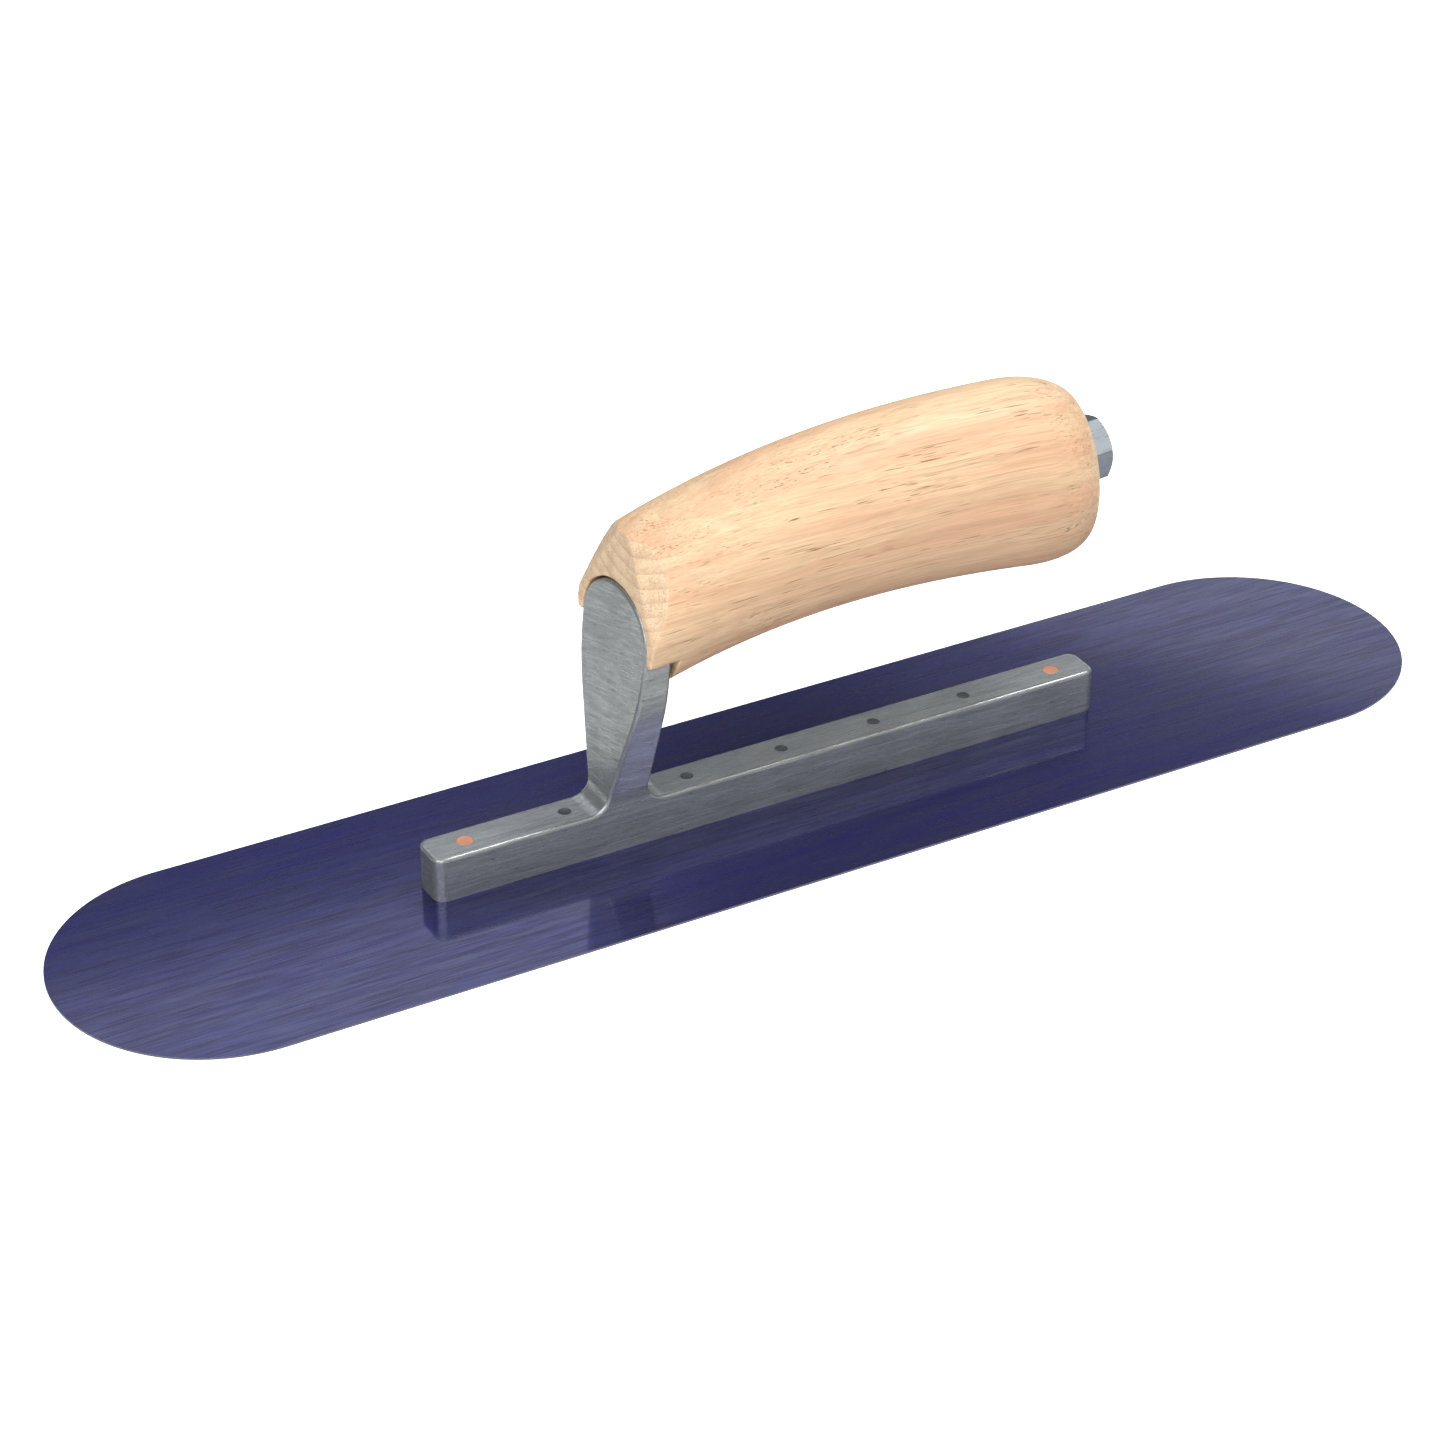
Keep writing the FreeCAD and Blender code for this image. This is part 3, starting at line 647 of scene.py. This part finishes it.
def stretched_noise_group():
    """Noise whose cells have a size of their own along each axis, cut between two levels."""
    inputs = (("Vector", "Vector", (0, 0, 0)), ("Cell", "Vector", (0.01, 0.01, 0.01)),
              ("Detail", "Float", 2.0), ("From", "Float", 0.3), ("To", "Float", 0.7))
    nodes, given, result = new_group("Stretched Noise", inputs, "Mask")
    scaled = nodes.vector("DIVIDE", given["Vector"], given["Cell"])
    noise = nodes.add("ShaderNodeTexNoise", {"Vector": scaled, "Scale": 1.0,
                                             "Detail": given["Detail"], "Roughness": 0.55})
    mask = nodes.steps(noise.outputs[0], given["From"], given["To"])
    nodes.feed(result, mask)
    return nodes.tree


def brush_marks_group(stretched):
    """Fine parallel marks along X, over fainter and wider ones."""
    inputs = (("Vector", "Vector", (0, 0, 0)), ("Length", "Float", 0.02),
              ("Width", "Float", 0.0003))
    nodes, given, result = new_group("Brush Marks", inputs, "Mask")

    def layer(longer, wider, weight):
        long_side = nodes.math("MULTIPLY", given["Length"], longer)
        short_side = nodes.math("MULTIPLY", given["Width"], wider)
        cell = nodes.add("ShaderNodeCombineXYZ", {"X": long_side, "Y": short_side,
                                                  "Z": short_side}).outputs[0]
        mask = nodes.group(stretched, Vector=given["Vector"], Cell=cell, Detail=3.0, From=0.3,
                           To=0.7)
        return nodes.math("MULTIPLY", mask, weight)

    nodes.feed(result, nodes.math("ADD", layer(1.0, 1.0, 0.6), layer(2.2, 4.0, 0.4)))
    return nodes.tree


def shared_groups():
    """The shared groups, built the first time that a material asks for them."""
    groups = bpy.data.node_groups
    if "Stretched Noise" not in groups:
        brush_marks_group(stretched_noise_group())
    return groups["Stretched Noise"], groups["Brush Marks"]


def new_material(name):
    material = bpy.data.materials.new(name)
    material.use_nodes = True
    nodes = Nodes(material.node_tree)
    return material, nodes, material.node_tree.nodes["Principled BSDF"].inputs


def blued_steel(blade):
    """Blue-black tempered steel under a thin oil film, drawn along X, with a ground rim."""
    noise, brush = shared_groups()
    material, nodes, surface = new_material("Blued Steel")
    place = nodes.place()
    marks = nodes.group(brush, Vector=place, Length=0.012, Width=0.00042)
    drift = nodes.group(noise, Vector=place, Cell=(0.028, 0.0035, 0.05), Detail=4.0, From=0.36,
                        To=0.64)
    cloud = nodes.group(noise, Vector=place, Cell=(0.09, 0.02, 0.05), Detail=2.0, From=0.3, To=0.7)
    dashes = nodes.group(noise, Vector=place, Cell=(0.0075, 0.00055, 0.01), Detail=2.0, From=0.60,
                         To=0.74)
    rim = nodes.steps(nodes.size_along("Z"), 0.85, 0.55)
    patches = nodes.math("MULTIPLY", nodes.math("ADD", drift, cloud), 0.5)
    body = nodes.blend(patches, blade.blue, blade.slate)
    body = nodes.blend(nodes.spread(marks, 0.50, 0.0), body, blade.dark)
    body = nodes.cover(body, blade.dark, mask=dashes, strength=0.55)
    nodes.feed(surface["Base Color"], nodes.blend(rim, body, blade.bare))
    worn = nodes.math("MULTIPLY_ADD", dashes, 0.12, nodes.spread(
        marks, blade.polish + 0.08, blade.polish - 0.06))
    nodes.feed(surface["Roughness"], worn)
    surface["Metallic"].default_value = blade.metal_share
    nodes.feed(surface["Coat Weight"], nodes.spread(marks, 0.62 * blade.oil, 1.1 * blade.oil))
    surface["Coat Roughness"].default_value = blade.oil_polish
    nodes.feed(surface["Normal"], nodes.bump(marks, 0.00003, 0.25))
    return material


def brushed_casting(mounting):
    """Brushed metal: marks along X, and marks that cross the faces that look along X."""
    noise, brush = shared_groups()
    material, nodes, surface = new_material("Brushed Casting")
    place = nodes.place()
    end_on = nodes.steps(nodes.size_along("X"), 0.80, 0.92)
    along = nodes.group(brush, Vector=place, Length=0.006, Width=0.00018)
    crossing = nodes.turned(place, (mounting.cross_angle, 0, math.radians(90)))
    across = nodes.group(brush, Vector=crossing, Length=0.005, Width=0.00017)
    marks = nodes.add("ShaderNodeMix", {0: end_on, 2: along, 3: across}).outputs[0]
    patches = nodes.group(noise, Vector=place, Cell=(0.016, 0.006, 0.006), Detail=4.0, From=0.3,
                          To=0.72)
    pits = nodes.group(noise, Vector=place, Cell=(0.0016, 0.0004, 0.0004), Detail=1.0, From=0.66,
                       To=0.78)
    body = nodes.cover(mounting.metal, mounting.dull, mask=patches, strength=0.6)
    body = nodes.blend(nodes.spread(marks, 0.6, 0.0), body, mounting.groove)
    body = nodes.cover(body, mounting.pit, mask=pits, strength=0.55)
    nodes.feed(surface["Base Color"], body)
    nodes.feed(surface["Roughness"], nodes.spread(marks, mounting.polish + 0.12,
                                                  mounting.polish - 0.06))
    surface["Metallic"].default_value = mounting.metal_share
    height = nodes.math("SUBTRACT", marks, pits)
    nodes.feed(surface["Normal"], nodes.bump(height, 0.00005, 0.2))
    return material


def pale_wood(grip):
    """Straight-grained pale wood: drifting tone, growth rings, fine fibre, dark pores, and a paler
    colour on the end faces that is partly a painted highlight.
    """
    noise, _ = shared_groups()
    material, nodes, surface = new_material("Pale Wood")
    place = nodes.place()
    warp = nodes.add("ShaderNodeTexNoise", {"Vector": nodes.vector("DIVIDE", place,
                                                                   (0.05, 0.02, 0.02)),
                                            "Scale": 1.0, "Detail": 2.0}).outputs["Color"]
    shift = nodes.vector("MULTIPLY", nodes.vector("SUBTRACT", warp, (0.5, 0.5, 0.5)),
                         (0, 0.0028, 0.0028))
    along = nodes.add("ShaderNodeSeparateXYZ", {0: place}).outputs["X"]
    past = nodes.math("SUBTRACT", along, grip.crown_place)
    sag = nodes.math("MULTIPLY", nodes.math("MULTIPLY", past, past), 0.5 / grip.grain_radius)
    bow = nodes.add("ShaderNodeCombineXYZ", {"Z": sag}).outputs[0]
    bent = nodes.vector("ADD", nodes.vector("ADD", place, shift), bow)
    broad = nodes.group(noise, Vector=bent, Cell=(0.10, 0.010, 0.007), Detail=4.0, From=0.34,
                        To=0.66)
    bands = nodes.group(noise, Vector=bent, Cell=(0.07, 0.0028, 0.0022), Detail=3.0, From=0.42,
                        To=0.70)
    fibre = nodes.group(noise, Vector=bent, Cell=(0.013, 0.00042, 0.00034), Detail=3.0, From=0.3,
                        To=0.7)
    threads = nodes.group(noise, Vector=bent, Cell=(0.042, 0.0006, 0.00045), Detail=3.0, From=0.56,
                          To=0.74)
    heart, ring_spacing = (0, -0.004, 0.104), 0.0030
    radial = nodes.vector("MULTIPLY", nodes.vector("SUBTRACT", bent, heart), (0, 1, 1))
    radius = nodes.add("ShaderNodeVectorMath", {0: radial}, operation="LENGTH").outputs["Value"]
    ring = nodes.math("FRACT", nodes.math("DIVIDE", radius, ring_spacing))
    ring = nodes.math("POWER", ring, 3.0)
    # How squarely a face looks along X: it strengthens the rings on the end grain and places the
    # painted highlight.
    end_grain_and_highlight = nodes.size_along("X")
    ring = nodes.math("MULTIPLY", ring, nodes.math("MULTIPLY_ADD", end_grain_and_highlight, 0.42, 0.12))
    stain = nodes.group(noise, Vector=bent, Cell=(0.012, 0.004, 0.003), Detail=5.0, From=0.55,
                        To=0.75)
    spots = nodes.group(noise, Vector=bent, Cell=(0.0095, 0.00030, 0.00022), Detail=1.0, From=0.61,
                        To=0.70)
    clusters = nodes.group(noise, Vector=bent, Cell=(0.032, 0.0036, 0.0026), Detail=3.0, From=0.46,
                           To=0.60)
    pores = nodes.math("MULTIPLY", spots, clusters)
    tone = nodes.blend(broad, grip.sapwood, grip.heartwood)
    # Faces that look along X turn to the palest colour: their end grain, with a painted highlight
    # on the nose and butt.
    tone = nodes.blend(nodes.steps(end_grain_and_highlight, 0.35, 0.75), tone, grip.end_grain_and_highlight)
    tone = nodes.cover(tone, grip.latewood, mask=bands, strength=0.38)
    tone = nodes.blend(ring, tone, grip.latewood)
    tone = nodes.blend(nodes.spread(fibre, 0.34, 0.0), tone, grip.latewood)
    tone = nodes.cover(tone, grip.thread, mask=threads, strength=0.5)
    tone = nodes.cover(tone, grip.stain, mask=stain, strength=0.2)
    tone = nodes.cover(tone, grip.pore, mask=pores, strength=0.85)
    nodes.feed(surface["Base Color"], tone)
    nodes.feed(surface["Roughness"], nodes.spread(fibre, 0.60, 0.46))
    height = nodes.math("SUBTRACT", nodes.math("MULTIPLY", fibre, 0.25), pores)
    nodes.feed(surface["Normal"], nodes.bump(height, 0.00007, 0.4))
    return material


def plain_metal(name, tint, polish, metallic=1.0):
    """A small metal part: faint machining marks and blotches over one colour."""
    noise, brush = shared_groups()
    material, nodes, surface = new_material(name)
    place = nodes.place()
    marks = nodes.group(brush, Vector=place, Length=0.004, Width=0.00025)
    blotches = nodes.group(noise, Vector=place, Cell=(0.003, 0.003, 0.003), Detail=3.0, From=0.35,
                           To=0.7)
    darker = (*(0.6 * value for value in tint[:3]), 1)
    body = nodes.cover(tint, darker, mask=blotches, strength=0.22)
    body = nodes.blend(nodes.spread(marks, 0.3, 0.0), body, darker)
    nodes.feed(surface["Base Color"], body)
    nodes.feed(surface["Roughness"], nodes.spread(marks, polish + 0.1, polish - 0.05))
    surface["Metallic"].default_value = metallic
    nodes.feed(surface["Normal"], nodes.bump(marks, 0.00002, 0.12))
    return material


# ---------------------------------------------------------------------------------------------
# Stage
# ---------------------------------------------------------------------------------------------
# Soft boxes: name, azimuth and elevation in degrees, distance and size in metres, brightness
# and tint.
SOFT_LIGHTS = (
    ("Key", -132, 42, 1.8, (2.1, 2.1), 2.6, (1, 0.985, 0.965)),
    ("Edge light", 103, 64, 1.8, (0.5, 0.5), 19.0),
    ("Fill", 145, 38, 1.8, (1.5, 1.3), 0.75),
    ("Back left", 2, 49, 1.5, (1.1, 0.72), 1.15, (0.88, 0.90, 1)),
    ("Back right", 52, 18, 1.5, (1.0, 0.565), 0.95, (0.92, 0.94, 1)),
)


def direction(azimuth, elevation):
    """A unit vector from the object; azimuth turns from +Y towards +X, both in degrees."""
    turn, lift = math.radians(azimuth), math.radians(elevation)
    return Vector((math.sin(turn) * math.cos(lift), math.cos(turn) * math.cos(lift),
                   math.sin(lift)))


def add_camera(stage):
    data = bpy.data.cameras.new("Camera")
    camera = bpy.data.objects.new("Camera", data)
    bpy.context.scene.collection.objects.link(camera)
    back = Vector((math.sin(stage.azimuth) * math.cos(stage.elevation),
                   -math.cos(stage.azimuth) * math.cos(stage.elevation),
                   math.sin(stage.elevation)))
    camera.location = Vector(stage.target) + back * stage.distance
    camera.rotation_mode = "QUATERNION"
    camera.rotation_quaternion = (-back).to_track_quat("-Z", "Y")
    data.lens = stage.lens
    data.clip_start, data.clip_end = 0.01, 50
    bpy.context.scene.camera = camera


def add_soft_light(name, azimuth, elevation, distance, size, brightness, tint=(1, 1, 1)):
    """A soft box that looks at the object's middle, with a given brightness in reflections."""
    data = bpy.data.lights.new(name, "AREA")
    data.shape = "RECTANGLE"
    data.size, data.size_y = size
    data.energy = brightness * math.pi * data.size * data.size_y
    data.color = tint
    lamp = bpy.data.objects.new(name, data)
    bpy.context.scene.collection.objects.link(lamp)
    towards = direction(azimuth, elevation)
    lamp.location = towards * distance
    lamp.rotation_mode = "QUATERNION"
    lamp.rotation_quaternion = towards.to_track_quat("Z", "Y")


def add_floor(stage):
    """A plain round floor, which looks paler to the camera than to the metal's reflections."""
    floor = start_piece("floor", bpy.ops.mesh.primitive_circle_add, vertices=96,
                        radius=stage.floor_radius, fill_type="NGON",
                        location=(0, 0, -stage.floor_drop))
    apply_place(floor)
    material, nodes, surface = new_material("Floor")
    seen = nodes.add("ShaderNodeLightPath").outputs["Is Camera Ray"]
    surface["Base Color"].default_value = stage.floor
    surface["Roughness"].default_value = 0.9
    surface["Specular IOR Level"].default_value = 0.0
    surface["Emission Color"].default_value = (1, 1, 1, 1)
    nodes.feed(surface["Emission Strength"], nodes.math("MULTIPLY", seen, stage.glow))
    floor.data.materials.append(material)


def add_world(stage):
    world = bpy.data.worlds.new("Studio")
    world.use_nodes = True
    bpy.context.scene.world = world
    nodes = Nodes(world.node_tree)
    seen = nodes.add("ShaderNodeLightPath").outputs["Is Camera Ray"]
    sky = nodes.blend(seen, stage.sky, (1, 1, 1, 1))
    world.node_tree.links.new(sky, world.node_tree.nodes["Background"].inputs["Color"])


# ---------------------------------------------------------------------------------------------
# Operators
# ---------------------------------------------------------------------------------------------

class TROWEL_OT_blade(bpy.types.Operator):
    """Make the blued blade plate"""
    bl_idname = "trowel.blade"
    bl_label = "Blade"

    def execute(self, context):
        settings = context.scene.trowel_blade
        finish_piece(make_blade_plate(settings), "blade", blued_steel(settings))
        return {"FINISHED"}


class TROWEL_OT_mounting(bpy.types.Operator):
    """Give the cast mounting its brushed finish"""
    bl_idname = "trowel.mounting"
    bl_label = "Mounting"

    def execute(self, context):
        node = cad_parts["mounting"]
        node.material_slots[0].material = brushed_casting(context.scene.trowel_mounting)
        return {"FINISHED"}


class TROWEL_OT_grip(bpy.types.Operator):
    """Make the wooden grip"""
    bl_idname = "trowel.grip"
    bl_label = "Grip"

    def execute(self, context):
        settings = context.scene.trowel_grip
        finish_piece(make_grip(settings), "handle", pale_wood(settings))
        return {"FINISHED"}


class TROWEL_OT_bolt(bpy.types.Operator):
    """Make the handle bolt and its two washers"""
    bl_idname = "trowel.bolt"
    bl_label = "Bolt and Washers"

    def execute(self, context):
        fastener, grip = context.scene.trowel_fasteners, context.scene.trowel_grip
        zinc = plain_metal("Zinc Plate", fastener.zinc, 0.30)
        spring = plain_metal("Spring Steel", fastener.spring, 0.38)
        finish_piece(make_hex_bolt(fastener, grip), "handle_bolt", zinc)
        finish_piece(make_plain_washer(fastener, grip), "flat_washer", zinc)
        finish_piece(make_spring_washer(fastener, grip), "lock_washer", spring)
        return {"FINISHED"}


class TROWEL_OT_rivets(bpy.types.Operator):
    """Make the row of rivets"""
    bl_idname = "trowel.rivets"
    bl_label = "Rivets"

    def execute(self, context):
        fastener = context.scene.trowel_fasteners
        copper = plain_metal("Copper", fastener.copper, 0.34, metallic=0.35)
        steel = plain_metal("Rivet Steel", fastener.steel, 0.36)
        for node in RIVET_NODES:
            ends = node.startswith("end")
            finish_piece(make_rivet(node, fastener), node,
                         copper if ends else steel)
        return {"FINISHED"}


class TROWEL_OT_stage(bpy.types.Operator):
    """Set up camera, floor, surroundings and soft lights"""
    bl_idname = "trowel.stage"
    bl_label = "Stage"

    def execute(self, context):
        stage = context.scene.trowel_stage
        context.scene.view_settings.view_transform = "Standard"
        add_camera(stage)
        add_floor(stage)
        add_world(stage)
        for light in SOFT_LIGHTS:
            add_soft_light(*light)
        return {"FINISHED"}


OPERATORS = (TROWEL_OT_stage, TROWEL_OT_blade, TROWEL_OT_mounting, TROWEL_OT_grip, TROWEL_OT_bolt,
             TROWEL_OT_rivets)


class TROWEL_PT_sidebar(bpy.types.Panel):
    """Buttons for each piece of the trowel and for its stage"""
    bl_idname = "TROWEL_PT_sidebar"
    bl_label = "Finishing Trowel"
    bl_space_type = "VIEW_3D"
    bl_region_type = "UI"
    bl_category = "Trowel"

    def draw(self, context):
        for operator in OPERATORS:
            self.layout.operator(operator.bl_idname)


SETTINGS = {
    "trowel_blade": TrowelBladeSettings,
    "trowel_mounting": TrowelMountingSettings,
    "trowel_grip": TrowelGripSettings,
    "trowel_fasteners": TrowelFastenerSettings,
    "trowel_stage": TrowelStageSettings,
}
CLASSES = (*SETTINGS.values(), *OPERATORS, TROWEL_PT_sidebar)


def register():
    for item in CLASSES:
        bpy.utils.register_class(item)
    for name, group in SETTINGS.items():
        setattr(bpy.types.Scene, name, PointerProperty(type=group))


def unregister():
    for name in SETTINGS:
        delattr(bpy.types.Scene, name)
    for item in reversed(CLASSES):
        bpy.utils.unregister_class(item)


def main():
    register()
    bpy.ops.trowel.stage()
    bpy.ops.trowel.blade()
    bpy.ops.trowel.mounting()
    bpy.ops.trowel.grip()
    bpy.ops.trowel.bolt()
    bpy.ops.trowel.rivets()


if __name__ == "__main__":
    main()
